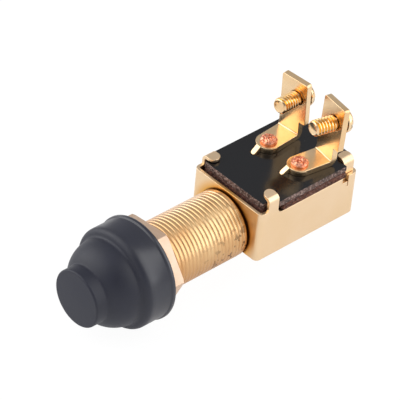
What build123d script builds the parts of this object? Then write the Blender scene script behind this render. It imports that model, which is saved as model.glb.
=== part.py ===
from build123d import *
from math import acos, cos, pi, radians, sin, tan
import os

# A push switch for a panel, in millimetres. The stem's axis is Y, with the button to -Y and the box to +Y.
# The origin is on that axis in the boot nut's rear face, where the panel sits, and +Z is the terminal side.

# Clearances
running_gap = 0.05
button_gap = 0.08
seat_gap = 0.05
boot_gap = 0.12
stop_gap = 0.05
overcut = 1.0

# Threaded stem, from its open front end to the box
stem_diameter = 15.875
stem_exposed = 21.6
stem_wall = 2.74
stem_proud = 0.5
stem_chamfer = 0.45
thread_pitch = 1.058
thread_depth = 0.46
thread_band = 1.25
counterbore_depth = 16.0
spigot_lip = 0.4
spigot_length = 0.8

# Boot nut: a hexagon behind a round collar
nut_wall = 1.54
nut_height = 3.4
nut_turn = 6.5
nut_bevel = 0.25
collar_wall = 2.0
collar_length = 5.5

# Rubber boot, from its rear lip to the flat face of its nub
boot_wall = 1.7
lip_length = 1.0
lip_height = 0.35
lip_round = 0.25
skirt_length = 5.15
shoulder_radius = 1.65
dome_radius = 8.27
nub_wall = 1.4
nub_length = 3.15
nub_round = 0.45
face_wall = 1.5
dome_count = 6
corner_count = 3

# Box of folded sheet
sheet = 0.8
box_length = 29.9
box_half_width = 10.75
box_drop = 4.7
box_corner = 1.3
box_edge = 0.5
fold_radius = 0.5
side_rim = 6.8
front_rim_rise = 1.7
lap_gap = 0.1

# Tabs over the board, placed from the box's front face; the front ones stand a little open
front_tab_start = 2.3
front_tab_width = 3.0
front_tab_round = 1.45
left_tab_reach = 3.4
left_tab_lift = 0.2
left_tab_tilt = 0.0
right_tab_reach = 2.9
right_tab_lift = 1.0
right_tab_tilt = 13.0
rear_tab_start = 26.0
rear_tab_width = 3.1
rear_tab_round = 0.95
rear_tab_reach = 2.8
rear_fold_radius = 0.9
tab_root_radius = 1.4
flange_lead = 0.85
flange_lift = 0.6
relief_length = 1.6
relief_depth = 1.5
slit_width = 0.25
slit_depth = 1.5

# Board: two plies of one outline
ply = 1.6
board_setback = 1.0
board_inset = 0.15
board_corner = 1.8
board_bevel = 0.2
notch_gap = 0.15

# Terminals: a pad with a round front end, a prong into the board and an upright plate
strip = 1.5
strip_width = 5.75
terminal_spacing = 9.9
rivet_setback = 16.7
crease_reach = 6.5
plate_height = 14.5
plate_overhang = 1.62
plate_step = 3.5
step_round = 0.2
plate_round = 0.6
bend_radius = 0.4
prong_width = 1.35
prong_reach = 4.7
prong_sink = 0.1
prong_depth = 1.2
prong_round = 0.6
prong_turn = -8.0
left_twist = 4.6
right_twist = -8.0
left_lean = -2.6
right_lean = 2.8

# Rivets
rivet_shank = 1.2
rivet_head_radius = 1.95
rivet_head_height = 1.35
rivet_foot_height = 0.7
rivet_foot_taper = 0.4
rivet_land = 0.7
rivet_crown = 0.8

# Terminal screws: offset and height are measured on the plate, from the pad's middle and its upper face
screw_diameter = 3.7
screw_offset = 1.6
screw_height = 9.8
screw_exposed = 5.9
screw_slack = 0.45
left_tilt = -8.0
right_tilt = -2.0
screw_chamfer = 0.35
screw_relief = 0.25
relief_lead = 0.3
screw_head_radius = 2.9
screw_head_height = 1.7
screw_head_land = 0.85
screw_head_slope = 0.85
slot_width = 0.9
slot_depth = 0.9

# Push button and its rod
button_overlap = 2.0
rod_radius = 1.95
rod_grip = 7.0
rod_tail = 0.6
travel = 4.0

# Return spring
spring_wire = 0.8
spring_radius = 3.6
spring_turns = 4
spring_bends = 8

# Contacts
contact_sheet = 1.0
contact_gap = 0.05
floor_gap = 0.5
bush_length = 5.35
bush_wall = 0.95
bush_flange = 0.6
sleeve_wall = 0.65
bridge_half_width = 7.5
bridge_thickness = 1.2
bridge_trim = 0.2
washer_thickness = 0.8
washer_trim = 0.2
ring_thickness = 0.8
ring_groove = 0.4
foot_width = 4.8
foot_tail = 2.4
leg_gap = 0.3
leg_trim = 0.9

# Places along the stem's axis
stem_radius = stem_diameter / 2
counterbore_radius = stem_radius - stem_wall
guide_radius = rod_radius + running_gap
box_front = stem_exposed
box_rear = box_front + box_length
thread_rear = box_front - thread_band
thread_turns = int(thread_rear / thread_pitch)
nut_bore = stem_radius + seat_gap
collar_radius = nut_bore + collar_wall
collar_front = -nut_height - collar_length
stem_front = collar_front - stem_proud
counterbore_floor = stem_front + counterbore_depth
lip_rear = box_front + sheet + spigot_length
button_radius = counterbore_radius - button_gap
button_rear = stem_front + button_overlap

# Boot profile
boot_rear = -nut_height - boot_gap
pocket_radius = collar_radius + boot_gap
pocket_front = collar_front - boot_gap
lip_front = boot_rear - lip_length
skirt_front = lip_front - skirt_length
shoulder_front = skirt_front - shoulder_radius
skirt_radius = pocket_radius + boot_wall
groove_radius = skirt_radius - shoulder_radius
dome_centre = groove_radius - dome_radius
nub_bore = button_radius + 2 * boot_gap
nub_radius = nub_bore + nub_wall
dome_turn = acos((nub_radius - dome_centre) / dome_radius)
crease = shoulder_front - dome_radius * sin(dome_turn)
boot_front = crease - nub_length
button_front = boot_front + face_wall

# Box, board and contact levels
box_bottom = -box_drop
front_rim = side_rim + front_rim_rise
board_top = side_rim + 2 * ply
rivet_y = box_front + rivet_setback
shaft_reach = box_drop - sheet - floor_gap
bush_front = lip_rear + stop_gap
flange_rear = bush_front + bush_length + bush_flange
bridge_rear = flange_rear + bridge_thickness
washer_rear = bridge_rear + washer_thickness
ring_rear = washer_rear + ring_thickness
rod_rear = ring_rear + rod_tail
washer_radius = shaft_reach - washer_trim
contact_front = bridge_rear + travel + contact_gap
half_strip = strip_width / 2
plate_right = half_strip + plate_overhang
flange_outer = box_half_width - sheet - lap_gap

# Each terminal's place, twist and lean, and the tilt of its loose screw
sides = {
    "left": (-terminal_spacing / 2, left_twist, left_lean, left_tilt),
    "right": (terminal_spacing / 2, right_twist, right_lean, right_tilt),
}


def span(x0, x1, y0, y1, z0, z1):
    centre = Pos((x0 + x1) / 2, (y0 + y1) / 2, (z0 + z1) / 2)
    return centre * Box(x1 - x0, y1 - y0, z1 - z0)


def turned(*points):
    return revolve(make_face(Polyline(*points, close=True)), Axis.Y)


def upright_turned(*points):
    return revolve(Plane.XZ * make_face(Polyline(*points, close=True)), Axis.Z)


def shaft(radius, y0, y1):
    return turned((0, y0), (radius, y0), (radius, y1), (0, y1))


def rounded_block(half_width, front, rear, bottom, top, corner):
    outline = RectangleRounded(2 * half_width, rear - front, corner)
    return Pos(0, (front + rear) / 2, bottom) * extrude(outline, top - bottom)


def both_sides(solid):
    return solid + mirror(solid, Plane.YZ)


def terminal_place(side):
    x, twist = sides[side][:2]
    return Pos(x, rivet_y, board_top) * Rot(0, 0, twist)


def hole_place(side):
    lean = sides[side][2]
    rise = Pos(screw_offset, crease_reach + screw_height * sin(radians(lean)), 0)
    lift = Pos(0, 0, strip + screw_height * cos(radians(lean)))
    return terminal_place(side) * rise * lift * Rot(-lean, 0, 0)


def screw_place(side):
    return hole_place(side) * Rot(sides[side][3], 0, 0)


def threaded_stem():
    spigot = shaft_reach - spigot_lip
    ridges = []
    for i in range(thread_turns):
        crest = thread_rear - (thread_turns - i) * thread_pitch
        ridges.append((stem_radius, crest))
        ridges.append((stem_radius - thread_depth, crest + thread_pitch / 2))
    return turned(
        (counterbore_radius, stem_front),
        (stem_radius - stem_chamfer, stem_front),
        (stem_radius, stem_front + stem_chamfer),
        *ridges,
        (stem_radius, thread_rear),
        (stem_radius, box_front - stem_chamfer),
        (stem_radius - stem_chamfer, box_front),
        (spigot, box_front),
        (spigot, box_front + sheet),
        (shaft_reach, box_front + sheet),
        (shaft_reach, lip_rear),
        (guide_radius, lip_rear),
        (guide_radius, counterbore_floor),
        (counterbore_radius, counterbore_floor),
    )


def boot_nut():
    flat = nut_bore + nut_wall
    hexagon = RegularPolygon(flat, 6, major_radius=False)
    corner = flat / cos(radians(30))
    upright = Plane.XZ * Rot(0, 0, nut_turn) * hexagon
    blank = extrude(upright, nut_height, dir=(0, -1, 0))
    bevel = turned(
        (0, -nut_height),
        (corner, -nut_height),
        (corner, -nut_bevel),
        (corner - 2 * nut_bevel, 0),
        (0, 0),
    )
    collar = shaft(collar_radius, collar_front, -nut_height)
    return (blank & bevel) + collar - shaft(nut_bore, collar_front - overcut, overcut)


def arc(x, y, radius, start, end, runs):
    points = []
    for i in range(runs + 1):
        turn = start + (end - start) * i / runs
        points.append((x + radius * cos(turn), y - radius * sin(turn)))
    return points


def rubber_boot():
    quarter = radians(90)
    lip_radius = skirt_radius + lip_height
    nub = arc(nub_radius - nub_round, boot_front + nub_round, nub_round, quarter, 0, corner_count)
    dome = arc(dome_centre, shoulder_front, dome_radius, dome_turn, 0, dome_count)
    shoulder = arc(groove_radius, skirt_front, shoulder_radius, quarter, 0, corner_count)
    return turned(
        (0, boot_front),
        *nub,
        *dome,
        *shoulder[1:],
        (skirt_radius, lip_front),
        (lip_radius, lip_front + lip_round),
        (lip_radius, boot_rear - lip_round),
        (lip_radius - lip_round, boot_rear),
        (pocket_radius, boot_rear),
        (pocket_radius, pocket_front),
        (groove_radius - boot_wall, pocket_front),
        (groove_radius - boot_wall, shoulder_front),
        (nub_bore, crease + face_wall),
        (nub_bore, button_front),
        (0, button_front),
    )


def tab(outer, start, width, reach, tip_round, bend, lift=0.0, tilt=0.0):
    inner = outer - sheet
    under = board_top + lift
    slope = radians(tilt)
    tip_under = under + (reach - sheet) * tan(slope)
    corners = [
        (outer, side_rim - sheet),
        (outer, under + sheet * (1 - sin(slope)) / cos(slope)),
        (outer - reach, tip_under + sheet / cos(slope)),
        (outer - reach, tip_under),
        (inner, under),
        (inner, side_rim - sheet),
    ]
    section = make_face(Polyline(*corners, close=True))
    section = fillet(section.vertices().sort_by_distance(corners[1])[0], bend + sheet)
    section = fillet(section.vertices().sort_by_distance(corners[4])[0], bend)
    strip_of_sheet = extrude(Plane.XZ * section, width, dir=(0, 1, 0))
    tip = strip_of_sheet.edges().filter_by(Axis.Z).group_by(Axis.X)[0]
    return Pos(0, box_front + start, 0) * fillet(tip, tip_round)


def front_tab(reach, lift, tilt):
    place = (box_half_width, front_tab_start, front_tab_width)
    return tab(*place, reach, front_tab_round, fold_radius, lift, tilt)


def housing():
    shell = rounded_block(box_half_width, box_front, box_rear, box_bottom, front_rim, box_corner)
    shell = fillet(shell.edges().group_by(Axis.Z)[0], box_edge)
    shell -= rounded_block(
        box_half_width - sheet,
        box_front + sheet,
        box_rear - sheet,
        box_bottom + sheet,
        front_rim + sheet,
        box_corner - sheet,
    )

    # the rim drops behind the front tabs, with a rounded root
    tab_rear = box_front + front_tab_start + front_tab_width
    wide = 2 * box_half_width
    lowered = span(-wide, wide, tab_rear, box_rear + sheet, side_rim, front_rim + sheet)
    root = lowered.edges().filter_by(Axis.X).sort_by_distance((0, tab_rear, side_rim))[0]
    shell -= fillet(root, tab_root_radius)

    # the rear wall's flanges lie inside the side walls and carry the rear tabs
    flange = span(
        flange_outer - sheet,
        flange_outer,
        box_front + rear_tab_start - flange_lead,
        box_rear - sheet,
        box_bottom + sheet + flange_lift,
        side_rim,
    )
    flange += tab(
        flange_outer,
        rear_tab_start,
        rear_tab_width,
        rear_tab_reach,
        rear_tab_round,
        rear_fold_radius,
    )
    shell += both_sides(flange)
    shell += front_tab(right_tab_reach, right_tab_lift, right_tab_tilt)
    shell += mirror(front_tab(left_tab_reach, left_tab_lift, left_tab_tilt), Plane.YZ)

    # a relief in each side wall's rim, with a slit below it, clears the rear tabs
    relief_start = box_front + rear_tab_start - flange_lead
    relief_end = relief_start + relief_length
    relief_floor = side_rim - relief_depth
    wall_inside = flange_outer + lap_gap / 2
    relief = span(wall_inside, wide, relief_start, relief_end, relief_floor, front_rim)
    slit = span(
        wall_inside,
        wide,
        relief_end,
        relief_end + slit_width,
        relief_floor - slit_depth,
        front_rim,
    )
    shell -= both_sides(relief + slit)
    hole = shaft_reach - spigot_lip + seat_gap
    return shell - shaft(hole, box_front - sheet, box_front + 2 * sheet)


def board_ply(bottom, parting, root_room):
    half = box_half_width
    front = box_front + sheet + board_setback
    rear = box_rear - board_inset
    outline = RectangleRounded(2 * half, rear - front, board_corner)
    blank = Pos(0, (front + rear) / 2, bottom) * extrude(outline, ply)
    front_notch = span(
        half - sheet - fold_radius - notch_gap,
        2 * half,
        front - sheet,
        box_front + front_tab_start + front_tab_width + root_room + notch_gap,
        bottom - ply,
        bottom + 2 * ply,
    )
    rear_notch = span(
        flange_outer - sheet - rear_fold_radius - notch_gap,
        2 * half,
        box_front + rear_tab_start - notch_gap,
        box_rear + sheet,
        bottom - ply,
        bottom + 2 * ply,
    )
    blank -= both_sides(front_notch) + both_sides(rear_notch)
    seam = blank.faces().filter_by(Axis.Z).sort_by(Axis.Z)[parting]
    blank = chamfer(seam.outer_wire().edges(), board_bevel)
    for side in sides:
        blank -= Pos(sides[side][0], rivet_y, bottom) * Cylinder(rivet_shank + seat_gap, 4 * ply)
    return blank


def terminal_board():
    board = board_ply(side_rim + ply, 0, 0)
    slot = span(
        -prong_width / 2 - seat_gap,
        prong_width / 2 + seat_gap,
        -prong_reach - seat_gap,
        -prong_reach + strip + seat_gap,
        -prong_depth - seat_gap,
        strip,
    )
    for side in sides:
        board -= terminal_place(side) * Rot(0, 0, prong_turn) * slot
    return board


def insulating_sheet():
    return board_ply(side_rim, -1, tab_root_radius)


def terminal(side):
    lean = radians(sides[side][2])
    top = (crease_reach + plate_height * sin(lean), strip + plate_height * cos(lean))
    back_rise = strip * (1 - sin(lean)) / cos(lean)
    corners = [
        (-half_strip, 0),
        (crease_reach + strip * cos(lean) - back_rise * sin(lean), 0),
        (top[0] + strip * cos(lean), top[1] - strip * sin(lean)),
        top,
        (crease_reach, strip),
        (-half_strip, strip),
    ]
    section = make_face(Polyline(*corners, close=True))
    section = fillet(section.vertices().sort_by_distance(corners[1])[0], bend_radius + strip)
    section = fillet(section.vertices().sort_by_distance(corners[4])[0], bend_radius)
    blank = Pos(-half_strip, 0, 0) * extrude(Plane.YZ * section, half_strip + plate_right, dir=(1, 0, 0))
    blank = fillet(blank.faces().sort_by(Axis.Z)[-1].edges().sort_by(SortBy.LENGTH)[:2], plate_round)

    # the strip is narrow up to the step, where the plate widens to one side
    narrow = span(half_strip, 2 * plate_right, -2 * half_strip, 2 * crease_reach, -strip, strip + plate_step)
    corner = narrow.edges().filter_by(Axis.Y).sort_by_distance((half_strip, 0, strip + plate_step))[0]
    blank -= fillet(corner, step_round)

    # the pad's front end is round about the rivet
    square = span(-2 * half_strip, 2 * half_strip, -2 * half_strip, 0, -strip, 2 * strip)
    blank -= square - Cylinder(half_strip, 8 * strip)

    # a prong slopes down into the board in front of the pad, turned a little to one side
    slope = [
        (-half_strip / 2, 0),
        (-half_strip / 2, strip),
        (-half_strip, strip),
        (-prong_reach, -prong_sink),
        (-prong_reach, -prong_depth),
        (strip - prong_reach, -prong_depth),
        (strip - prong_reach, 0),
    ]
    section = make_face(Polyline(*slope, close=True))
    prong = Pos(-prong_width / 2, 0, 0) * extrude(Plane.YZ * section, prong_width, dir=(1, 0, 0))
    tip = prong.edges().filter_by(Axis.Z).group_by(Axis.Y)[0]
    blank += Rot(0, 0, prong_turn) * fillet(tip, prong_round)

    blank -= Cylinder(rivet_shank + seat_gap, 4 * strip)
    placed = terminal_place(side) * blank
    return placed - hole_place(side) * shaft(screw_diameter / 2 + seat_gap, -strip, 2 * strip)


def rivet(side):
    bottom = -2 * ply - contact_sheet
    head = strip + rivet_head_height
    blank = upright_turned(
        (0, bottom - rivet_foot_height),
        (rivet_head_radius - rivet_foot_taper, bottom - rivet_foot_height),
        (rivet_head_radius, bottom),
        (rivet_shank, bottom),
        (rivet_shank, strip),
        (rivet_head_radius, strip),
        (rivet_head_radius, strip + rivet_land),
        (rivet_head_radius - rivet_crown, head),
        (0, head),
    )
    return Pos(sides[side][0], rivet_y, board_top) * blank


def terminal_screw(side):
    outer = screw_diameter / 2
    head_front = strip + stop_gap + screw_slack
    head_rear = head_front + screw_head_height
    blank = turned(
        (0, -screw_exposed),
        (outer - screw_chamfer, -screw_exposed),
        (outer, -screw_exposed + screw_chamfer),
        (outer, -relief_lead),
        (outer - screw_relief, -relief_lead),
        (outer - screw_relief, head_front),
        (screw_head_radius, head_front),
        (screw_head_radius, head_front + screw_head_land),
        (screw_head_radius - screw_head_slope, head_rear),
        (0, head_rear),
    )
    half = slot_width / 2
    wide = 2 * screw_head_radius
    slot = span(-wide, wide, head_rear - slot_depth, head_rear + overcut, -half, half)
    return screw_place(side) * (blank - slot)


def fixed_contact(side):
    inner = washer_radius + leg_gap
    outer = terminal_spacing / 2 + foot_width / 2
    foot_inner = outer - foot_width
    foot_rear = rivet_y + foot_tail
    leg_bottom = leg_trim - shaft_reach
    corners = [
        (contact_front, leg_bottom),
        (contact_front, side_rim),
        (foot_rear, side_rim),
        (foot_rear, side_rim - contact_sheet),
        (contact_front + contact_sheet, side_rim - contact_sheet),
        (contact_front + contact_sheet, leg_bottom),
    ]
    section = make_face(Polyline(*corners, close=True))
    section = fillet(section.vertices().sort_by_distance(corners[1])[0], bend_radius + contact_sheet)
    section = fillet(section.vertices().sort_by_distance(corners[4])[0], bend_radius)
    blank = Pos(foot_inner, 0, 0) * extrude(Plane.YZ * section, foot_width, dir=(1, 0, 0))
    beside = span(
        foot_inner - overcut,
        inner,
        contact_front - overcut,
        contact_front + contact_sheet + bend_radius,
        leg_bottom - overcut,
        inner,
    )
    blank -= beside
    hole = Cylinder(rivet_shank + seat_gap, 4 * contact_sheet)
    blank -= Pos(terminal_spacing / 2, rivet_y, side_rim) * hole
    return blank if side == "right" else mirror(blank, Plane.YZ)


def push_button():
    grip_front = button_rear - rod_grip
    edge = nub_round / 2
    return turned(
        (0, button_front),
        (button_radius - edge, button_front),
        (button_radius, button_front + edge),
        (button_radius, button_rear),
        (rod_radius + seat_gap, button_rear),
        (rod_radius + seat_gap, grip_front),
        (0, grip_front),
    )


def plunger_rod():
    neck = rod_radius - ring_groove
    return turned(
        (0, button_rear - rod_grip),
        (rod_radius, button_rear - rod_grip),
        (rod_radius, washer_rear),
        (neck, washer_rear),
        (neck, ring_rear),
        (rod_radius, ring_rear),
        (rod_radius, rod_rear),
        (0, rod_rear),
    )


def return_spring():
    margin = spring_wire / 2 + stop_gap
    start = button_rear + margin
    height = counterbore_floor - margin - start
    runs = spring_turns * spring_bends
    bends = []
    for i in range(runs + 1):
        turn = 2 * pi * i / spring_bends
        bends.append((spring_radius * cos(turn), start + height * i / runs, -spring_radius * sin(turn)))
    path = Polyline(*bends)
    wire = Plane(path @ 0, z_dir=path % 0) * Circle(spring_wire / 2)
    return sweep(wire, path, transition=Transition.RIGHT)


def insulating_bush():
    bore = rod_radius + seat_gap
    return turned(
        (bore, bush_front),
        (bore + bush_wall, bush_front),
        (bore + bush_wall, flange_rear - bush_flange),
        (shaft_reach, flange_rear - bush_flange),
        (shaft_reach, flange_rear),
        (bore + sleeve_wall, flange_rear),
        (bore + sleeve_wall, bridge_rear),
        (bore, bridge_rear),
    )


def bridge_contact():
    half_height = shaft_reach - bridge_trim
    plate = span(-bridge_half_width, bridge_half_width, flange_rear, bridge_rear, -half_height, half_height)
    plate = fillet(plate.edges().filter_by(Axis.Y), bridge_thickness / 2)
    hole = rod_radius + 2 * seat_gap + sleeve_wall
    return plate - shaft(hole, flange_rear - overcut, bridge_rear + overcut)


def fibre_washer():
    bore = rod_radius + seat_gap
    disc = shaft(washer_radius, bridge_rear, washer_rear)
    return disc - shaft(bore, bridge_rear - overcut, washer_rear + overcut)


def retaining_ring():
    bore = rod_radius - ring_groove + seat_gap
    disc = shaft(washer_radius - washer_trim, washer_rear, ring_rear)
    front = washer_rear - overcut
    rear = ring_rear + overcut
    mouth = span(-bore, bore, front, rear, -2 * washer_radius, 0)
    return disc - shaft(bore, front, rear) - mouth


nodes = {
    "housing": housing(),
    "threaded_stem": threaded_stem(),
    "boot_nut": boot_nut(),
    "rubber_boot": rubber_boot(),
    "terminal_board": terminal_board(),
    "insulating_sheet": insulating_sheet(),
    "push_button": push_button(),
    "plunger_rod": plunger_rod(),
    "return_spring": return_spring(),
    "insulating_bush": insulating_bush(),
    "bridge_contact": bridge_contact(),
    "fibre_washer": fibre_washer(),
    "retaining_ring": retaining_ring(),
}
for side in sides:
    nodes[side + "_terminal"] = terminal(side)
    nodes[side + "_rivet"] = rivet(side)
    nodes[side + "_terminal_screw"] = terminal_screw(side)
    nodes[side + "_fixed_contact"] = fixed_contact(side)

os.makedirs("parts", exist_ok=True)
for name, solid in nodes.items():
    export_step(solid, f"parts/{name}.step")
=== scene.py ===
import bmesh
import bpy
from math import atan2, ceil, cos, degrees, hypot, pi, radians, sin, sqrt
from mathutils import Matrix, Vector, noise


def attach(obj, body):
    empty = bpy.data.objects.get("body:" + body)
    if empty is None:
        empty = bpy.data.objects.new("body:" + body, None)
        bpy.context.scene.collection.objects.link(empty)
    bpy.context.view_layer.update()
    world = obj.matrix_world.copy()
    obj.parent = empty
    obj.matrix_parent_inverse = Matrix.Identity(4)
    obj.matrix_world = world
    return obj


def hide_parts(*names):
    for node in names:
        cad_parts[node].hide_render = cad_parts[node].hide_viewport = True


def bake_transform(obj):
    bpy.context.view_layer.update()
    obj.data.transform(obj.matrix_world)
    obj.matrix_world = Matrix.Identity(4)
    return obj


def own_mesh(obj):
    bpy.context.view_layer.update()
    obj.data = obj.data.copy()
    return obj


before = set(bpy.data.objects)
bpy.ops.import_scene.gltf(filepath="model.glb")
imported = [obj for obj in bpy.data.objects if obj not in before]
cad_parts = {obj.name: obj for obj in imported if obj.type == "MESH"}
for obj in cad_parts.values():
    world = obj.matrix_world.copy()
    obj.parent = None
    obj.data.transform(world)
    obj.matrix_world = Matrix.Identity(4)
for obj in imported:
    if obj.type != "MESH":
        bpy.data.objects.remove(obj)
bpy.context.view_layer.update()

mm = 0.001
scene = bpy.context.scene
scene.view_settings.view_transform = "Standard"


def linear(hexColour):  # sRGB hex to linear RGBA
    shares = [int(hexColour[i:i + 2], 16) / 255 for i in (1, 3, 5)]
    return [s / 12.92 if s <= 0.04045 else ((s + 0.055) / 1.055) ** 2.4 for s in shares] + [1.0]


# Adds a node with its settings, sets or links its inputs by order or by name, gives back one output
def addNode(tree, kind, inputs=(), output=0, **settings):
    node = tree.nodes.new("ShaderNode" + kind)
    for name, value in settings.items():
        setattr(node, name, value)
    for key, value in inputs.items() if isinstance(inputs, dict) else enumerate(inputs):
        if isinstance(value, bpy.types.NodeSocket):
            tree.links.new(value, node.inputs[key])
        else:
            node.inputs[key].default_value = value
    return node.outputs[output] if len(node.outputs) else None


def newMaterial(name):
    material = bpy.data.materials.new(name)
    material.use_nodes = True
    material.node_tree.nodes.clear()
    return material, material.node_tree


def finished(material, inputs):  # closes a material with its shader
    tree = material.node_tree
    addNode(tree, "OutputMaterial", {"Surface": addNode(tree, "BsdfPrincipled", inputs)})
    return material


def pattern(place, size, detail):  # settings of a noise whose blotches are about size mm across
    return {"Vector": place, "Scale": 1 / (size * mm), "Detail": detail}


# A Mix node's sockets for colours, and the part of a noise's range that most of its values lie in
mixShare, mixFirst, mixSecond, mixResult = 0, 6, 7, 2
noiseSpan, middleSpan = (0.3, 0.7), (0.35, 0.65)


def coats(tree, base, layers):  # colours laid over a first one, each by its share
    for share, hexColour in layers:
        inputs = {mixShare: share, mixFirst: base, mixSecond: linear(hexColour)}
        base = addNode(tree, "Mix", inputs, mixResult, data_type="RGBA")
    return base


# Brass: one metal, worked in five ways. Lengths are in mm, a pattern is a size and its detail.
# The real grain is too fine to show, so it is drawn 0.2 to 0.35 mm wide
brassFinishes = {
    "rolledBrass": {  # folded sheet: soft satin with faint rolling lines along the box
        "bright": "#f6d9b4", "deep": "#f3d4ab", "blotch": (9.0, 3.0),
        "spot": "#b89670", "spotSpan": (0.80, 0.83),
        # colour, and the radii it fades between: a painted reflection of the stem, gold round it,
        # and painted shade in the joint
        "paintedLightRings": [("#e6a328", 8.2, 10.3), ("#5a3818", 7.9, 8.3)],
        "paintedRingSpan": (22.3, 22.4), "paintedRingShare": 0.85,  # on the front wall alone
        "grain": (0.35, 5.0), "stretch": (1.0, 0.12, 1.0), "rough": (0.33, 0.38), "bump": 0.001,
    },
    "turnedBrass": {  # turned bar: brown tarnish spots toward the box, a painted highlight on the left, painted shade underneath and in the rear groove, and painted reflection and shade by the nut
        "bright": "#f2cf9c", "deep": "#e8bd88", "blotch": (5.0, 3.0),
        "spot": "#482a20", "spotSpan": (0.57, 0.60),
        # axis, where it starts and is full, and the share at both: toward the box, and underneath
        "spotMasks": [("Y", 6.0, 19.0, 0.0, 1.0), ("Z", 5.0, -2.0, 0.3, 1.0)],
        "paintedLightFades": [  # painted light, each a colour, axis, where it starts and is full, and its share
            ("#f2d4ba", "X", 0.0, -5.0, 0.7),  # painted highlight on the left
            ("#c39368", "Z", 5.0, -3.0, 0.7),  # painted shade underneath
            ("#c8874a", "Y", 10.0, 0.0, 0.5),  # painted reflection and shade by the nut
            ("#5a3818", "Y", 21.1, 21.25, 0.85),  # painted shade in the rear groove
        ],
        "grain": (0.30, 5.0), "rough": (0.33, 0.39), "bump": 0.003,
    },
    "nutBrass": {  # milled hexagon: paler and pinker than the stem
        "bright": "#e8cfb9", "deep": "#e0c2a7", "blotch": (4.0, 3.0),
        "spot": "#b08c6c", "spotSpan": (0.72, 0.75),
        "grain": (0.30, 5.0), "rough": (0.50, 0.56), "bump": 0.003,
    },
    "stampedBrass": {  # bright stamped strip: smoother than the box, and mirrors its neighbours
        "bright": "#f5d6ab", "deep": "#f0ca98", "blotch": (6.0, 3.0),
        "spot": "#8c6642", "spotSpan": (0.74, 0.77),
        "grain": (0.25, 5.0), "rough": (0.23, 0.27), "bump": 0.001,
    },
    "screwBrass": {  # rolled thread: pale crests, and a painted reflection between the threads, deep yellow where light bounces from flank to flank
        "bright": "#f6d8ae", "deep": "#f0ca98", "blotch": (2.5, 3.0),
        "spot": "#6a4526", "spotSpan": (0.74, 0.77), "grooveReflection": "#ffcc44",
        "grain": (0.20, 5.0), "rough": (0.14, 0.20), "bump": 0.002,
    },
}
brassShared = {  # holds for all five, unless a finish says otherwise
    "spots": (1.6, 5.0), "spotShare": 0.95, "spotMasks": [], "paintedLightFades": [], "paintedLightRings": [],
    "grooveReflection": None, "stretch": (1.0, 1.0, 1.0), "tooth": 0.3,
}


def brass(name):
    finish = {**brassShared, **brassFinishes[name]}
    material, tree = newMaterial(name)
    place = addNode(tree, "TexCoord", output="Object")
    axes = addNode(tree, "SeparateXYZ", [place]).node.outputs
    blotch = addNode(tree, "TexNoise", pattern(place, *finish["blotch"]))
    lines = addNode(tree, "Mapping", {"Vector": place, "Scale": finish["stretch"]})
    grain = addNode(tree, "TexNoise", pattern(lines, *finish["grain"]))
    spots = addNode(tree, "TexNoise", pattern(place, *finish["spots"]))

    layers = [(addNode(tree, "MapRange", [blotch, *middleSpan, 0, 1]), finish["deep"])]
    # painted reflection: deep yellow between a screw's threads, by how deep each point lies
    if finish["grooveReflection"]:
        depth = addNode(tree, "Attribute", output="Fac", attribute_name="grooveReflection")
        layers.append((depth, finish["grooveReflection"]))
    # painted light on the front wall: the stem's painted reflection in gold, and painted shade
    # where the stem meets the wall
    if finish["paintedLightRings"]:
        flat = addNode(tree, "VectorMath", [place, (1, 0, 1)], operation="MULTIPLY")
        away = addNode(tree, "VectorMath", [flat], "Value", operation="LENGTH")
        start, end = finish["paintedRingSpan"]
        wall = addNode(tree, "MapRange", [axes["Y"], start * mm, end * mm, finish["paintedRingShare"], 0])
        for hexColour, start, end in finish["paintedLightRings"]:
            ring = addNode(tree, "MapRange", [away, start * mm, end * mm, 1, 0])
            layers.append((addNode(tree, "Math", [ring, wall], operation="MULTIPLY"), hexColour))
    # painted light along the stem: a painted highlight, painted shade, and a painted reflection of
    # the nut
    for hexColour, axis, start, end, share in finish["paintedLightFades"]:
        paintedFade = addNode(tree, "MapRange", [axes[axis], start * mm, end * mm, 0, share])
        layers.append((paintedFade, hexColour))
    spotted = addNode(tree, "MapRange", [spots, *finish["spotSpan"], 0, finish["spotShare"]])
    for axis, start, end, least, most in finish["spotMasks"]:
        mask = addNode(tree, "MapRange", [axes[axis], start * mm, end * mm, least, most])
        spotted = addNode(tree, "Math", [spotted, mask], operation="MULTIPLY")
    layers.append((spotted, finish["spot"]))

    return finished(material, {
        "Base Color": coats(tree, linear(finish["bright"]), layers), "Metallic": 1.0,
        "Roughness": addNode(tree, "MapRange", [grain, *noiseSpan, *finish["rough"]]),
        "Normal": addNode(tree, "Bump", {
            "Height": grain, "Strength": finish["tooth"], "Distance": finish["bump"] * mm,
        }),
    })


rivetFinish = {  # a crushed copper head: soft salmon metal, darker where it creased
    "light": "#f2ad8f", "dark": "#df8a66", "blotch": (0.9, 4.0),
    "grain": (0.15, 4.0), "rough": (0.18, 0.30), "tooth": 0.4, "bump": 0.02,
}


def copper(name):
    finish = rivetFinish
    material, tree = newMaterial(name)
    place = addNode(tree, "TexCoord", output="Object")
    blotch = addNode(tree, "TexNoise", pattern(place, *finish["blotch"]))
    grain = addNode(tree, "TexNoise", pattern(place, *finish["grain"]))
    layers = [(addNode(tree, "MapRange", [blotch, *middleSpan, 0, 1]), finish["dark"])]
    return finished(material, {
        "Base Color": coats(tree, linear(finish["light"]), layers), "Metallic": 1.0,
        "Roughness": addNode(tree, "MapRange", [grain, *noiseSpan, *finish["rough"]]),
        "Normal": addNode(tree, "Bump", {
            "Height": grain, "Strength": finish["tooth"], "Distance": finish["bump"] * mm,
        }),
    })


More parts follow.
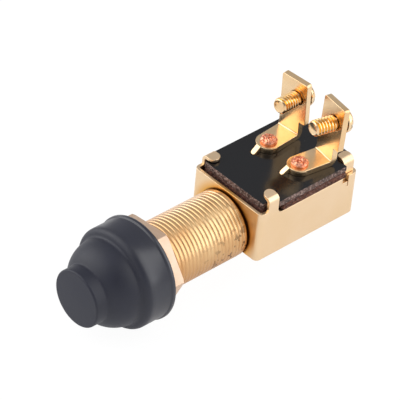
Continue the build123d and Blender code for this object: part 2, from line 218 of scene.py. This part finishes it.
# Moulded rubber: satin charcoal, duller on the face that thumbs press, with a few specks of dust
rubberFinish = {
    "dark": "#101324", "light": "#15182a", "bloom": (6.0, 3.0), "cloud": (-0.03, 0.03),
    "dust": "#7d8087", "specks": (0.45, 1.0), "dustSpan": (0.84, 0.87), "dustShare": 0.4,
    "wornFrom": -10.4, "shineFrom": -11.0, "skirtFrom": -8.8,  # along the boot, from the worn face
    "rough": (0.50, 0.30), "shine": (0.37, 0.55),  # on the face, and on the skirt
    "grain": (0.12, 3.0), "tooth": 0.25, "bump": 0.01, "ior": 1.65,
}


def rubber(name):
    finish = rubberFinish
    material, tree = newMaterial(name)
    place = addNode(tree, "TexCoord", output="Object")
    along = addNode(tree, "SeparateXYZ", [place], "Y")
    bloom = addNode(tree, "TexNoise", pattern(place, *finish["bloom"]))
    grain = addNode(tree, "TexNoise", pattern(place, *finish["grain"]))
    specks = addNode(tree, "TexNoise", pattern(place, *finish["specks"]))
    bloomed = addNode(tree, "MapRange", [bloom, *noiseSpan, 0, 1])
    dusty = addNode(tree, "MapRange", [specks, *finish["dustSpan"], 0, finish["dustShare"]])
    layers = [(bloomed, finish["light"]), (dusty, finish["dust"])]
    wornSpan = finish["wornFrom"] * mm, finish["skirtFrom"] * mm
    shineSpan = finish["shineFrom"] * mm, finish["skirtFrom"] * mm
    worn = addNode(tree, "MapRange", [along, *wornSpan, *finish["rough"]])
    cloud = addNode(tree, "MapRange", [bloom, *noiseSpan, *finish["cloud"]])
    return finished(material, {
        "Base Color": coats(tree, linear(finish["dark"]), layers), "IOR": finish["ior"],
        "Roughness": addNode(tree, "Math", [worn, cloud], operation="ADD"),
        "Specular IOR Level": addNode(tree, "MapRange", [along, *shineSpan, *finish["shine"]]),
        "Normal": addNode(tree, "Bump", {
            "Height": grain, "Strength": finish["tooth"], "Distance": finish["bump"] * mm,
        }),
    })


# Pressed board: a smooth face, and a punched edge where the paper shows. Its fibres are too fine to
# show, so they are drawn about half a millimetre wide
laminateFinishes = {
    "paperLaminate": {  # black varnished paper board: a gloss face, and pale chips on its edges
        "face": "#0e0f13", "dark": "#261a16", "light": "#785b50", "chipShare": 0.50,
        "polish": (0.12, 0.18),
    },
    "redFibre": {  # vulcanised fibre: dull red-brown all through; its edge is darker, partly its own colour and partly painted shade where it lies under the board
        "face": "#5a3024", "dark": "#341c15", "light": "#74493a", "chipShare": 0.15,
        "polish": (0.40, 0.55),
    },
}
laminateShared = {
    "fibre": (0.55, 6.0), "stretch": (1.0, 1.0, 1.6), "fibreSpan": (0.38, 0.64),
    "chip": "#c9aea4", "chips": (0.42, 2.0), "chipSpan": (0.54, 0.60),
    "dust": "#77716c", "specks": (0.6, 4.0), "dustSpan": (0.72, 0.80), "dustShare": 0.3,
    "edgeSpan": (0.55, 0.85),  # how level a surface is, from the edge to the face
    "smear": (3.0, 4.0), "edgeRough": 0.5, "tooth": 0.7, "bump": 0.15, "ior": 1.42,
}


def laminate(name):
    finish = {**laminateShared, **laminateFinishes[name]}
    material, tree = newMaterial(name)
    place = addNode(tree, "TexCoord", output="Object")
    normal = addNode(tree, "NewGeometry", output="Normal")
    upright = addNode(tree, "SeparateXYZ", [normal], "Z")
    level = addNode(tree, "Math", [upright], operation="ABSOLUTE")
    edge = addNode(tree, "MapRange", [level, *finish["edgeSpan"], 1, 0])
    lines = addNode(tree, "Mapping", {"Vector": place, "Scale": finish["stretch"]})
    fibre = addNode(tree, "TexNoise", pattern(lines, *finish["fibre"]))
    chips = addNode(tree, "TexNoise", pattern(place, *finish["chips"]))
    specks = addNode(tree, "TexNoise", pattern(place, *finish["specks"]))
    smear = addNode(tree, "TexNoise", pattern(place, *finish["smear"]))
    pale = addNode(tree, "MapRange", [fibre, *finish["fibreSpan"], 0, 1])
    chipped = addNode(tree, "MapRange", [chips, *finish["chipSpan"], 0, finish["chipShare"]])
    dusty = addNode(tree, "MapRange", [specks, *finish["dustSpan"], 0, finish["dustShare"]])
    edgeLayers = [(pale, finish["light"]), (chipped, finish["chip"])]
    edgeColour = coats(tree, linear(finish["dark"]), edgeLayers)
    faceColour = coats(tree, linear(finish["face"]), [(dusty, finish["dust"])])
    sides = {mixShare: edge, mixFirst: faceColour, mixSecond: edgeColour}
    faceRough = addNode(tree, "MapRange", [smear, *noiseSpan, *finish["polish"]])
    edgeRough = addNode(tree, "MapRange", [edge, 0, 1, 0, finish["edgeRough"]])
    torn = addNode(tree, "Math", [fibre, edge], operation="MULTIPLY")
    return finished(material, {
        "Base Color": addNode(tree, "Mix", sides, mixResult, data_type="RGBA"),
        "Roughness": addNode(tree, "Math", [faceRough, edgeRough], operation="ADD"),
        "IOR": finish["ior"],
        "Normal": addNode(tree, "Bump", {
            "Height": torn, "Strength": finish["tooth"], "Distance": finish["bump"] * mm,
        }),
    })


# What is only seen with the switch taken apart
insideFinishes = {
    "turnedSteel": {  # turned rod: clean grey metal with soft, even reflections
        "light": "#c4c6ca", "dark": "#a4a6aa", "metal": 1.0,
        "grain": (0.3, 4.0), "rough": (0.24, 0.36),
    },
    "springSteel": {  # drawn wire: a darker, bluer grey
        "light": "#b9bcc2", "dark": "#989ba1", "metal": 1.0,
        "grain": (0.3, 4.0), "rough": (0.26, 0.38),
    },
    "contactCopper": {  # rolled strip: warm salmon, cloudy where it has been handled
        "light": "#dc9270", "dark": "#c4754f", "metal": 1.0,
        "grain": (0.5, 4.0), "rough": (0.24, 0.38),
    },
    "mouldedPhenolic": {  # moulded phenolic: brown-black, with a dull gloss
        "light": "#37302c", "dark": "#25201d", "metal": 0.0,
        "grain": (0.4, 4.0), "rough": (0.34, 0.46),
    },
}


def insideFinish(name):
    finish = insideFinishes[name]
    material, tree = newMaterial(name)
    place = addNode(tree, "TexCoord", output="Object")
    grain = addNode(tree, "TexNoise", pattern(place, *finish["grain"]))
    layers = [(addNode(tree, "MapRange", [grain, *noiseSpan, 0, 1]), finish["dark"])]
    return finished(material, {
        "Base Color": coats(tree, linear(finish["light"]), layers), "Metallic": finish["metal"],
        "Roughness": addNode(tree, "MapRange", [grain, *noiseSpan, *finish["rough"]]),
    })


materials = {name: brass(name) for name in brassFinishes}
materials.update({name: laminate(name) for name in laminateFinishes})
materials.update({name: insideFinish(name) for name in insideFinishes})
materials["crushedCopper"] = copper("crushedCopper")
materials["bootRubber"] = rubber("bootRubber")
print("materials made:", len(materials))


def finishPiece(bm, name, material, sharpAngle):
    bmesh.ops.recalc_face_normals(bm, faces=bm.faces)
    mesh = bpy.data.meshes.new(name)
    bm.to_mesh(mesh)
    bm.free()
    mesh.shade_smooth()
    mesh.set_sharp_from_angle(angle=radians(sharpAngle))
    mesh.materials.append(materials[material])
    piece = bpy.data.objects.new(name, mesh)
    scene.collection.objects.link(piece)
    return piece


def standFor(piece, node, body):
    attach(piece, body)
    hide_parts(node)


# How near in mm points are one point, in the solids, along a thread, at a pole and at a cut
weld = {"solid": 0.002, "thread": 0.01, "pole": 0.001, "cut": 0.0001}

# Pieces whose solids have the right shape: a copy with its hard edges broken, by as many mm
brokenEdges = {
    "housing": {"edge": 0.10, "material": "rolledBrass", "slot": "box_brass"},
    "boot_nut": {"edge": 0.14, "material": "nutBrass", "slot": "turned_brass"},
    "terminal_board": {"edge": 0.10, "material": "paperLaminate", "slot": "black_laminate"},
    "insulating_sheet": {"edge": 0.10, "material": "redFibre", "slot": "red_fibre"},
    "left_terminal": {"edge": 0.12, "material": "stampedBrass", "slot": "terminal_brass"},
    "right_terminal": {"edge": 0.12, "material": "stampedBrass", "slot": "terminal_brass"},
}
edgeTool = {"flatAngle": 0.5, "hardAngle": 32.0, "segments": 2, "sharp": 35.0}


def breakEdges(node):
    spec = brokenEdges[node]
    bm = bmesh.new()
    bm.from_mesh(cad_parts[node].data)
    bmesh.ops.remove_doubles(bm, verts=bm.verts, dist=weld["solid"] * mm)
    bmesh.ops.dissolve_limit(bm, angle_limit=radians(edgeTool["flatAngle"]), verts=bm.verts,
                             edges=bm.edges)
    hardAngle = radians(edgeTool["hardAngle"])
    hard = [e for e in bm.edges if e.is_manifold and e.calc_face_angle() > hardAngle]
    bmesh.ops.bevel(bm, geom=hard, offset=spec["edge"] * mm, offset_type="OFFSET", affect="EDGES",
                    segments=edgeTool["segments"], profile=0.5, material=-1, clamp_overlap=False)
    piece = finishPiece(bm, node + "_dressed", spec["material"], edgeTool["sharp"])
    piece.modifiers.new("evenNormals", "WEIGHTED_NORMAL").keep_sharp = True
    standFor(piece, node, "switch_body")


for node in brokenEdges:
    breakEdges(node)
print("edges broken:", len(brokenEdges))


def wire(bm, points):  # an open line through points in mm
    verts = [bm.verts.new([c * mm for c in point]) for point in points]
    return verts + [bm.edges.new(pair) for pair in zip(verts, verts[1:])]


# One pitch of the outline, spun on a right-hand helix about Y, then cut square at both ends
def threadTube(spec):
    front, rear, depth, pitch = (spec[k] for k in ("front", "rear", "depth", "pitch"))
    root, lead, spare = spec["radius"] - depth, 1.5, 2  # lead and spare turns are cut off again
    rise = spec["ridge"] + [(1 - share, height) for share, height in reversed(spec["ridge"][:-1])]
    outline = [(root + height * depth, front + (share - lead) * pitch, 0) for share, height in rise]
    turns = ceil((rear - front) / pitch) + spare
    bm = bmesh.new()
    bmesh.ops.spin(bm, geom=wire(bm, outline), cent=(0, 0, 0), axis=(0, 1, 0), angle=2 * pi * turns,
                   steps=spec["steps"] * turns, dvec=(0, pitch * mm / spec["steps"], 0))
    bmesh.ops.remove_doubles(bm, verts=bm.verts, dist=weld["thread"] * mm)
    for y, out in ((front, -1), (rear, 1)):
        everything = bm.verts[:] + bm.edges[:] + bm.faces[:]
        bmesh.ops.bisect_plane(bm, geom=everything, dist=weld["cut"] * mm, plane_co=(0, y * mm, 0),
                               plane_no=(0, out, 0), clear_outer=True)
    middle = (front + rear) / 2 * mm
    rim = [e for e in bm.edges if e.is_boundary]
    ends = [[e for e in rim if (e.verts[0].co.y - middle) * side > 0] for side in (-1, 1)]
    return bm, ends


def ringTo(bm, ring, radius, y):  # extrudes a ring and sets its radius and its place
    made = bmesh.ops.extrude_edge_only(bm, edges=ring)["geom"]
    for vert in (g for g in made if isinstance(g, bmesh.types.BMVert)):
        swell = radius * mm / hypot(vert.co.x, vert.co.z)
        vert.co = (vert.co.x * swell, y * mm, vert.co.z * swell)
    return [g for g in made if isinstance(g, bmesh.types.BMEdge)]


# Threaded stem. A ridge is half a pitch, as shares of the pitch and of the depth, and rings are
# radius and place along Y
stem = {
    "radius": 7.9375, "depth": 0.18, "pitch": 1.058, "steps": 96, "front": -8.95, "rear": 20.35,
    "ridge": [(0.0, 0.0), (0.04, 0.05), (0.10, 0.48), (0.17, 0.84), (0.27, 0.97), (0.50, 1.0)],
    "noseRing": (7.4875, -9.4),
    "rearRings": [
        (7.86, 20.5), (7.9, 20.65), (7.9, 21.05), (7.84, 21.12), (7.0, 21.2), (7.0, 21.6),
        (3.0, 21.6), (3.0, 22.4), (3.4, 22.4), (3.4, 23.2), (2.0, 23.2),  # swaged into the wall
        (2.0, 6.6), (5.1975, 6.6), (5.1975, -9.4),  # bored for the rod and the button
    ],
    "sharp": 60.0,
}


def threadedStem():
    bm, (nose, ring) = threadTube(stem)
    nose = ringTo(bm, nose, *stem["noseRing"])
    for radius, y in stem["rearRings"]:
        ring = ringTo(bm, ring, radius, y)
    bmesh.ops.bridge_loops(bm, edges=nose + ring)
    piece = finishPiece(bm, "stem_with_thread", "turnedBrass", stem["sharp"])
    standFor(piece, "threaded_stem", "switch_body")


threadedStem()
print("stem threaded")

# Terminal screws, made along Y with the plate's front face at 0, then set in their plates
screw = {
    "radius": 1.85, "depth": 0.48, "pitch": 0.79, "steps": 48, "front": -5.55, "rear": -0.4,
    "ridge": [(0.0, 0.0), (0.12, 0.0), (0.38, 1.0), (0.50, 1.0)],
    "tipRings": [(1.66, -5.72), (1.50, -5.88), (1.42, -5.9), (1.34, -5.86), (1.26, -5.82)],
    "headRings": [
        (1.6, -0.3), (1.6, 2.0), (2.75, 2.0), (2.9, 2.15), (2.9, 2.8), (2.77, 3.1), (2.45, 3.42),
        (2.05, 3.63), (1.75, 3.7),
    ],
    "slotWidth": 0.9, "slotFloor": 2.8, "slotBar": (10, 2), "sharp": 30.0, "barSharp": 35.0,
    "places": {  # x, twist and lean of each terminal, and the tilt of its screw
        "left": (-4.95, 4.6, -2.6, -8.0),
        "right": (4.95, -8.0, 2.8, -2.0),
    },
    "rivetY": 38.3, "boardTop": 10.0, "offset": 1.6, "crease": 6.5, "strip": 1.5, "height": 9.8,
}


def slotBar(side):  # a bar laid across the head, which cuts the driver slot
    length, height = screw["slotBar"]
    size = Matrix.Diagonal((length * mm, height * mm, screw["slotWidth"] * mm, 1))
    middle = Matrix.Translation((0, (screw["slotFloor"] + height / 2) * mm, 0))
    bm = bmesh.new()
    bmesh.ops.create_cube(bm, size=1, matrix=middle @ size)
    return finishPiece(bm, side + "_slot_bar", "screwBrass", screw["barSharp"])


def terminalScrew(side):
    bm, (tip, ring) = threadTube(screw)
    for radius, y in screw["tipRings"]:
        tip = ringTo(bm, tip, radius, y)
    bmesh.ops.edgeloop_fill(bm, edges=tip)
    for radius, y in screw["headRings"]:
        ring = ringTo(bm, ring, radius, y)
    bmesh.ops.edgeloop_fill(bm, edges=ring)
    piece = finishPiece(bm, side + "_screw_with_thread", "screwBrass", screw["sharp"])

    cutter = slotBar(side)
    cut = piece.modifiers.new("slot", "BOOLEAN")
    cut.operation = "DIFFERENCE"
    cut.object = cutter
    bpy.context.view_layer.update()
    graph = bpy.context.evaluated_depsgraph_get()
    slotted = bpy.data.meshes.new_from_object(piece.evaluated_get(graph))
    piece.modifiers.clear()
    piece.data = slotted
    bpy.data.objects.remove(cutter)

    # how deep each point lies between the threads, for the screw's painted reflection there
    grooveReflection = slotted.attributes.new("grooveReflection", "FLOAT", "POINT")
    for vert, share in zip(slotted.vertices, grooveReflection.data):
        depth = (screw["radius"] - hypot(vert.co.x, vert.co.z) / mm) / screw["depth"]
        share.value = depth if screw["front"] < vert.co.y / mm < screw["rear"] else 0.0

    x, twist, lean, tilt = screw["places"][side]
    lean = radians(lean)
    seat = Vector((screw["offset"], screw["crease"] + screw["height"] * sin(lean),
                   screw["strip"] + screw["height"] * cos(lean))) * mm
    pad = Vector((x, screw["rivetY"], screw["boardTop"])) * mm
    turn = Matrix.Rotation(radians(twist), 4, "Z")
    nod = Matrix.Rotation(radians(tilt) - lean, 4, "X")
    slotted.transform(Matrix.Translation(pad) @ turn @ Matrix.Translation(seat) @ nod)
    standFor(piece, side + "_terminal_screw", side + "_screw")


for side in screw["places"]:
    terminalScrew(side)
print("screws threaded")


def turned(points, axis, steps):  # a full turn of an outline, closed at its poles
    bm = bmesh.new()
    bmesh.ops.spin(bm, geom=wire(bm, points), cent=(0, 0, 0), axis=axis, angle=2 * pi, steps=steps,
                   use_merge=True)
    bmesh.ops.remove_doubles(bm, verts=bm.verts, dist=weld["pole"] * mm)
    return bm


# Rivets: a turned blank whose head is crushed by the setting tool
rivet = {
    "blank": [  # radius and height above the board
        (0.0, -4.9), (1.4, -4.9), (1.62, -4.8), (1.95, -4.2), (1.2, -4.2), (1.2, 1.5), (1.84, 1.5),
        (1.93, 1.6), (1.95, 1.8), (1.95, 2.0),
    ],
    "headTop": 2.85, "headBase": 2.0, "headRadius": 1.95, "headRings": 24, "crown": 4.5,
    "facet": 1.0, "facetTurn": 3.7, "slope": 0.45, "crease": 0.30, "creaseWidth": 0.25,
    "sink": 0.12, "crushFrom": 0.01, "crushFull": 0.5,  # height above the head's base
    "seeds": {"left": 1.7, "right": 5.2}, "steps": 120, "sharp": 50.0,
}


def crushedRivet(side):
    x = screw["places"][side][0]
    base = rivet["headBase"]
    crown = []
    for i in range(1, rivet["headRings"] + 1):
        share = 1 - i / rivet["headRings"]
        rise = (rivet["headTop"] - base) * (1 - share ** rivet["crown"])
        crown.append((rivet["headRadius"] * share, base + rise))
    outline = [(radius, 0, z) for radius, z in rivet["blank"] + crown]
    bm = turned(outline, (0, 0, 1), rivet["steps"])
    seed = Vector((rivet["seeds"][side], 0, 0))
    for vert in bm.verts:
        z = vert.co.z / mm
        if z > base + rivet["crushFrom"]:
            share = min(1.0, (z - base) / rivet["crushFull"])
            where = Vector((vert.co.x, vert.co.y, 0)) / (rivet["facet"] * mm) + seed
            gaps, facets = noise.voronoi(where)
            way = noise.noise_vector(facets[0] * rivet["facetTurn"])
            tilt = (where - facets[0]).dot(way) * rivet["slope"]
            crease = max(0.0, 1 - (gaps[1] - gaps[0]) / rivet["creaseWidth"]) * rivet["crease"]
            vert.co.z += share * min(0.0, tilt - crease - rivet["sink"]) * mm
    place = Vector((x, screw["rivetY"], screw["boardTop"])) * mm
    bmesh.ops.translate(bm, verts=bm.verts, vec=place)
    piece = finishPiece(bm, side + "_rivet_crushed", "crushedCopper", rivet["sharp"])
    standFor(piece, side + "_rivet", "switch_body")


for side in rivet["seeds"]:
    crushedRivet(side)
print("rivets set")

# Rubber boot: one moulded skin over the nut's collar and the push button
boot = {
    "face": -21.154, "nubRadius": 6.7575, "nubRound": 0.45, "crease": -18.004, "creaseRound": 0.7,
    "domeCentre": (1.8875, -11.32), "domeRadius": 8.27, "hollow": 0.9,
    "skirtRadius": 11.8075, "skirtFront": -9.67, "shoulder": 1.65,
    "lip": [  # radius and place along Y
        (11.8075, -4.7), (11.86, -4.58), (12.0, -4.5), (12.12, -4.4), (12.1575, -4.25),
        (12.1575, -3.77), (12.08, -3.59), (11.9, -3.52), (10.1075, -3.52),
    ],
    "inside": [
        (10.1075, -9.02), (8.4575, -9.02), (8.4575, -11.32), (5.3575, -16.504), (5.3575, -19.654),
        (0.0, -19.654),
    ],
    "points": {"nub": 6, "crease": 6, "dome": 18, "hollow": 8, "shoulder": 10},  # along each arc
    "steps": 160, "sharp": 60.0,
}


def arc(centre, radius, start, end, count):  # points of a circle, by angles in degrees from +X
    turns = [radians(start + (end - start) * i / count) for i in range(count + 1)]
    return [(centre[0] + radius * cos(t), centre[1] + radius * sin(t)) for t in turns]


def rubberBoot():
    points = boot["points"]
    centreX, centreY = boot["domeCentre"]
    small, large = boot["creaseRound"], boot["domeRadius"]
    across = boot["nubRadius"] + small - centreX
    below = sqrt((large + small) ** 2 - across ** 2)
    lean = degrees(atan2(below, across))
    edge = boot["nubRound"]
    nub = boot["nubRadius"] - edge, boot["face"] + edge
    fold = boot["nubRadius"] + small, centreY - below

    # the hollow is a circle that touches the dome and the shoulder
    bend, hollow = boot["shoulder"], boot["hollow"]
    shoulderX, shoulderY = boot["skirtRadius"] - bend, boot["skirtFront"]
    reach = hypot(shoulderX - centreX, shoulderY - centreY)
    along = ((large + hollow) ** 2 - (bend + hollow) ** 2 + reach ** 2) / (2 * reach)
    off = sqrt((large + hollow) ** 2 - along ** 2)
    ux, uy = (shoulderX - centreX) / reach, (shoulderY - centreY) / reach
    hollowX, hollowY = centreX + along * ux + off * uy, centreY + along * uy - off * ux
    toDome = degrees(atan2(centreY - hollowY, centreX - hollowX))
    toShoulder = degrees(atan2(shoulderY - hollowY, shoulderX - hollowX))

    outline = [(0.0, boot["face"])]
    outline += arc(nub, edge, -90, 0, points["nub"])
    outline += arc(fold, small, 180, 180 - lean, points["crease"])
    outline += arc(boot["domeCentre"], large, -lean, toDome - 180, points["dome"])[1:]
    outline += arc((hollowX, hollowY), hollow, toDome, toShoulder, points["hollow"])[1:]
    outline += arc((shoulderX, shoulderY), bend, toShoulder - 180, 0, points["shoulder"])[1:]
    outline += boot["lip"] + boot["inside"]
    bm = turned([(radius, y, 0) for radius, y in outline], (0, 1, 0), boot["steps"])
    piece = finishPiece(bm, "boot_moulded", "bootRubber", boot["sharp"])
    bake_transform(piece)
    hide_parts("rubber_boot")


rubberBoot()
print("boot moulded")

# Return spring: a wire circle spun on a helix, at one fixed length; the real one shortens with the
# button
spring = {
    "wire": 0.4, "coil": 3.6, "front": -6.95, "rear": 6.15, "turns": 4, "steps": 40,
    "wirePoints": 12, "floor": 6.6, "button": -7.4, "travel": 4.0, "sharp": 60.0,
}


def returnSpring():
    bm = bmesh.new()
    middle = Matrix.Translation((spring["coil"] * mm, spring["front"] * mm, 0))
    bmesh.ops.create_circle(bm, cap_ends=True, segments=spring["wirePoints"],
                            radius=spring["wire"] * mm, matrix=middle)
    steps = spring["turns"] * spring["steps"]
    rise = (spring["rear"] - spring["front"]) / steps
    start = bm.verts[:] + bm.edges[:] + bm.faces[:]
    bmesh.ops.spin(bm, geom=start, cent=(0, 0, 0), axis=(0, 1, 0), angle=2 * pi * spring["turns"],
                   steps=steps, dvec=(0, rise * mm, 0))
    piece = finishPiece(bm, "return_spring_coil", "springSteel", spring["sharp"])
    standFor(piece, "return_spring", "switch_body")
    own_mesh(piece)


returnSpring()
print("spring wound")

# Pieces inside, whose solids stay: material and slot
insidePieces = {
    "push_button": ("mouldedPhenolic", "moulded_plastic"),
    "plunger_rod": ("turnedSteel", "steel"),
    "insulating_bush": ("mouldedPhenolic", "moulded_plastic"),
    "bridge_contact": ("contactCopper", "copper"),
    "fibre_washer": ("redFibre", "red_fibre"),
    "retaining_ring": ("springSteel", "steel"),
    "left_fixed_contact": ("contactCopper", "copper"),
    "right_fixed_contact": ("contactCopper", "copper"),
}
for node, (material, slot) in insidePieces.items():
    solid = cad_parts[node]
    solid.data.materials.clear()
    solid.data.materials.append(materials[material])
print("inside pieces finished:", len(insidePieces))

# Studio: a white floor, a tent that is dim at the back and open at the front right, and four soft
# boxes. Lengths are in mm
studio = {
    "floorZ": -12.3, "floorReach": 900.0, "floorPoints": 64, "floorColour": "#f4f4f4",
    "floorGlow": 1.05, "shadowSeen": 0.10, "shadowMirrored": 0.50, "floorSharp": 35.0,
    "sky": "#dcdcde", "front": 1.25, "back": 0.70, "turnSpan": (-0.35, 0.35),  # from front to back
    "darkSide": (0.54, -0.56, 0.63), "dark": 0.3, "darkSpan": (0.84, 0.96),  # the tent's opening
    "boxes": {  # place, aim, size and radiance
        "frontBox": ((-300, -320, 400), (0, 20, 0), (560, 460), 1.4),
        "backBox": ((350, 360, 340), (0, 20, 0), (600, 680), 1.45),
        "leftCard": ((-520, -170, 170), (0, 10, 0), (320, 320), 1.5),
        "rightCard": ((560, 385, 70), (0, 10, 0), (260, 260), 0.9),
    },
}
white = (1, 1, 1, 1)


def studioFloor():  # matte paper: keeps a soft shadow, and is white to the camera and in mirrors
    bm = bmesh.new()
    bmesh.ops.create_circle(bm, cap_ends=True, segments=studio["floorPoints"],
                            radius=studio["floorReach"] * mm,
                            matrix=Matrix.Translation((0, 0, studio["floorZ"] * mm)))
    material, tree = newMaterial("matteFloor")
    matte = addNode(tree, "BsdfDiffuse", {"Color": linear(studio["floorColour"])})
    glow = addNode(tree, "Emission", {"Color": white, "Strength": studio["floorGlow"]})
    rays = addNode(tree, "LightPath").node.outputs
    shadows = studio["shadowMirrored"], studio["shadowSeen"]
    share = addNode(tree, "MapRange", [rays["Is Camera Ray"], 0, 1, *shadows])
    seen = rays["Is Camera Ray"]
    for ray in ("Is Glossy Ray", "Is Transmission Ray"):
        seen = addNode(tree, "Math", [seen, rays[ray]], operation="MAXIMUM")
    kept = addNode(tree, "MixShader", [share, glow, matte])
    shown = addNode(tree, "MixShader", [seen, matte, kept])
    addNode(tree, "OutputMaterial", {"Surface": shown})
    materials["matteFloor"] = material
    finishPiece(bm, "studio_floor", "matteFloor", studio["floorSharp"])


def studioWorld():
    world = bpy.data.worlds.new("tent")
    scene.world = world
    world.use_nodes = True
    tree = world.node_tree
    tree.nodes.clear()
    cameraRay = addNode(tree, "LightPath", output="Is Camera Ray")
    outlook = addNode(tree, "TexCoord", output="Generated")
    depth = addNode(tree, "SeparateXYZ", [outlook], "Y")
    ends = studio["front"], studio["back"]
    strength = addNode(tree, "MapRange", [depth, *studio["turnSpan"], *ends])
    facing = addNode(tree, "VectorMath", [outlook, studio["darkSide"]], "Value",
                     operation="DOT_PRODUCT")
    gap = addNode(tree, "MapRange", [facing, *studio["darkSpan"], 1, studio["dark"]])
    strength = addNode(tree, "Math", [strength, gap], operation="MULTIPLY")
    tent = addNode(tree, "Background", {"Color": linear(studio["sky"]), "Strength": strength})
    plain = addNode(tree, "Background", {"Color": white, "Strength": 1.0})
    shown = addNode(tree, "MixShader", [cameraRay, tent, plain])
    addNode(tree, "OutputWorld", {"Surface": shown})


def softBox(name):
    place, aim, size, radiance = studio["boxes"][name]
    light = bpy.data.lights.new(name, "AREA")
    light.shape = "RECTANGLE"
    light.size, light.size_y = (s * mm for s in size)
    light.energy = radiance * pi * light.size * light.size_y
    lamp = bpy.data.objects.new(name, light)
    scene.collection.objects.link(lamp)
    place, aim = Vector(place) * mm, Vector(aim) * mm
    lamp.location = place
    lamp.rotation_euler = (aim - place).to_track_quat("-Z", "Y").to_euler()
    lamp.visible_camera = False


studioFloor()
studioWorld()
for name in studio["boxes"]:
    softBox(name)
print("studio lit")

# Camera: fitted to the photograph's edges. The shift and the focal length are in its pixels
view = {
    "azimuth": 43.92, "elevation": 38.94, "roll": 5.78, "distance": 700.0, "middle": (0, 21.6, 0),
    "shift": (24.04, -21.59), "focal": 3198.91, "frame": 400, "sensor": 36.0, "clip": (0.01, 10),
}


def photoCamera():
    a, e, r = (radians(view[k]) for k in ("azimuth", "elevation", "roll"))
    back = Vector((sin(a) * cos(e), -cos(a) * cos(e), sin(e)))
    level = Vector((cos(a), sin(a), 0))
    upright = back.cross(level)
    right = cos(r) * level + sin(r) * upright
    up = cos(r) * upright - sin(r) * level
    x, y = view["shift"]
    aside = (right * x + up * y) * view["distance"] / view["focal"]
    place = Vector(view["middle"]) + back * view["distance"] - aside
    data = bpy.data.cameras.new("photoCamera")
    data.sensor_width = view["sensor"]
    data.lens = view["focal"] / view["frame"] * view["sensor"]
    data.clip_start, data.clip_end = view["clip"]
    camera = bpy.data.objects.new("photoCamera", data)
    turn = Matrix((right, up, back)).transposed().to_4x4()
    camera.matrix_world = Matrix.Translation(place * mm) @ turn
    scene.collection.objects.link(camera)
    scene.camera = camera


photoCamera()
print("camera placed")
